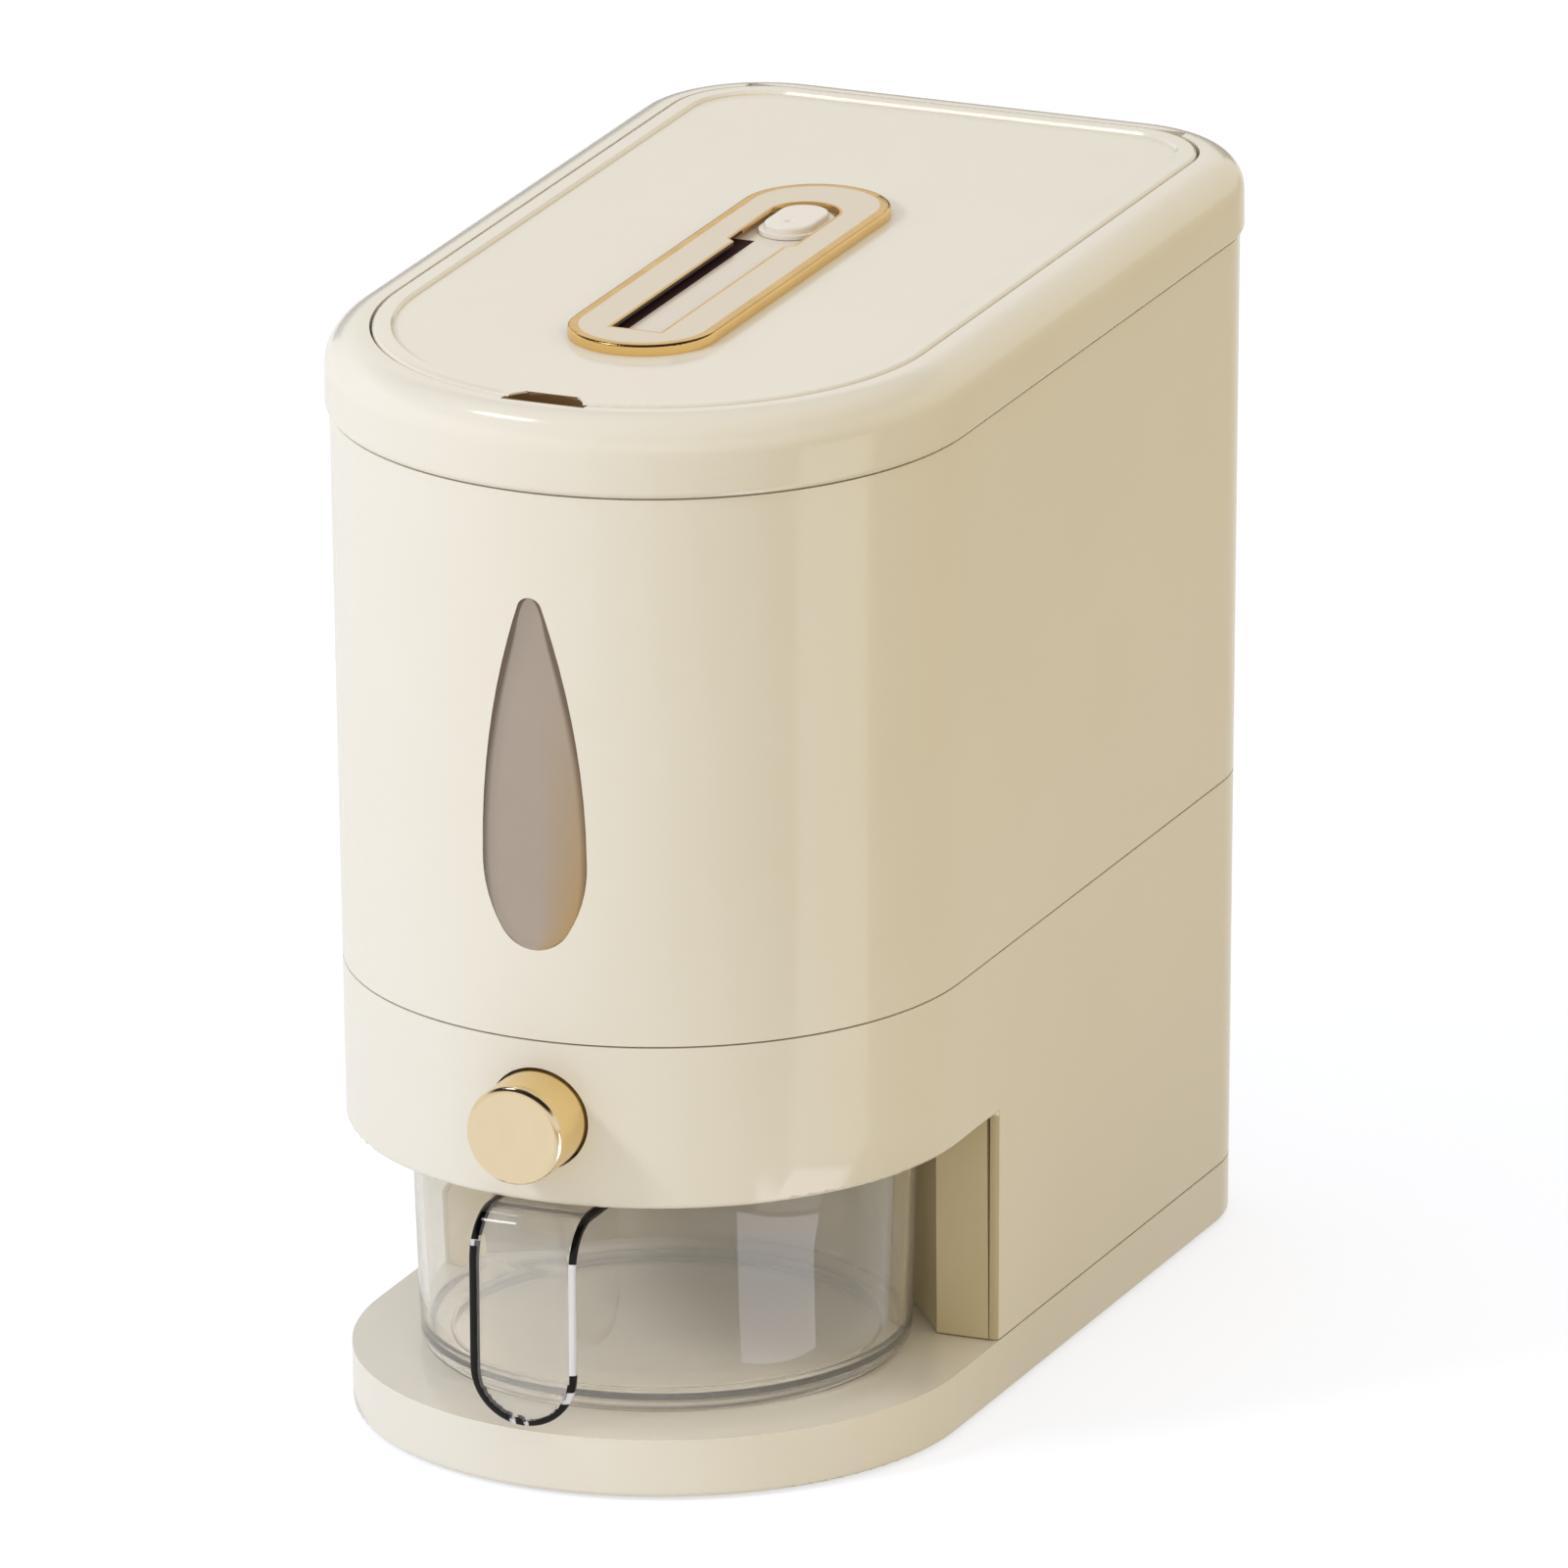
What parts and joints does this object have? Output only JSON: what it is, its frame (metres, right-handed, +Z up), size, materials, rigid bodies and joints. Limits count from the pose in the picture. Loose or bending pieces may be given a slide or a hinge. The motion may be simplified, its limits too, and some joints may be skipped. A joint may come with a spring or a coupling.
{
  "type": "rice dispenser",
  "caption": "Countertop grain bin with a D-shaped body, hinged lid, see-through level window, push-button outlet gate and a clear hooked cup that slides out of the bay below.",
  "frame": {"origin": "centre of the object's box on the surface it stands on", "axes": "+Z up, -Y to the front (button, cup and window), +X to the right seen from the front"},
  "size_m": [0.207, 0.3836, 0.3559],
  "materials": {
    "shell": "moulded gloss ABS, cream",
    "inlay": "gloss cream inlay",
    "inner_plastic": "moulded ABS, satin",
    "rubber": "matt rubber",
    "silicone": "soft silicone",
    "steel": "plated steel",
    "gold": "plated ABS, pale gold, polished",
    "track": "gloss white plastic",
    "knob": "gloss white plastic",
    "window": "smoked brown clear plastic",
    "clear": "clear polystyrene",
    "bag": "non-woven bag"
  },
  "bodies": {
    "housing": {"base_plate": "shell", "base_feet": "rubber", "base_screws": "steel", "lower_housing": "shell", "bay_wall": "shell", "bay_ceiling": "shell", "ceiling_screws": "steel", "gate_guide": "inner_plastic", "guide_screws": "steel", "button_sleeve": "inner_plastic", "return_spring": "steel", "funnel": "inner_plastic", "funnel_seal": "silicone", "upper_housing": "shell", "window_lens": "window", "window_gasket": "silicone", "top_collar": "shell", "hinge_pins": "steel"},
    "button": {"button_cap": "gold", "push_stem": "inner_plastic", "gate_plate": "inner_plastic", "stem_screws": "steel"},
    "cup": {"cup": "clear"},
    "lid": {"lid_panel": "shell", "lid_liner": "inner_plastic", "lid_seal": "silicone", "lid_screws": "steel", "lid_plate": "gold", "lid_plate_inlay": "inlay", "slide_track": "track", "desiccant_bag": "bag"},
    "slide": {"slide_knob": "knob"},
    "tray_cover": {"desiccant_cover": "inner_plastic"}
  },
  "joints": [
    {"name": "button_press", "type": "slide", "parent": "housing", "child": "button", "axis": [0, 1, 0], "range_m": [0, 0.013], "stiffness_N_per_m": 250, "springref_m": -0.012, "deforming": ["return_spring"]},
    {"name": "cup_pull", "type": "slide", "parent": "housing", "child": "cup", "axis": [0, -1, 0], "range_m": [0, 0.18]},
    {"name": "lid_swing", "type": "hinge", "parent": "housing", "child": "lid", "pos_m": [0, 0.17395, 0.3509], "axis": [-1, 0, 0], "range_deg": [0, 100]},
    {"name": "slide_travel", "type": "slide", "parent": "lid", "child": "slide", "axis": [0, -1, 0], "range_m": [0, 0.112]},
    {"name": "tray_cover_slide", "type": "slide", "parent": "lid", "child": "tray_cover", "axis": [0, -1, 0], "range_m": [0, 0.06]}
  ]
}
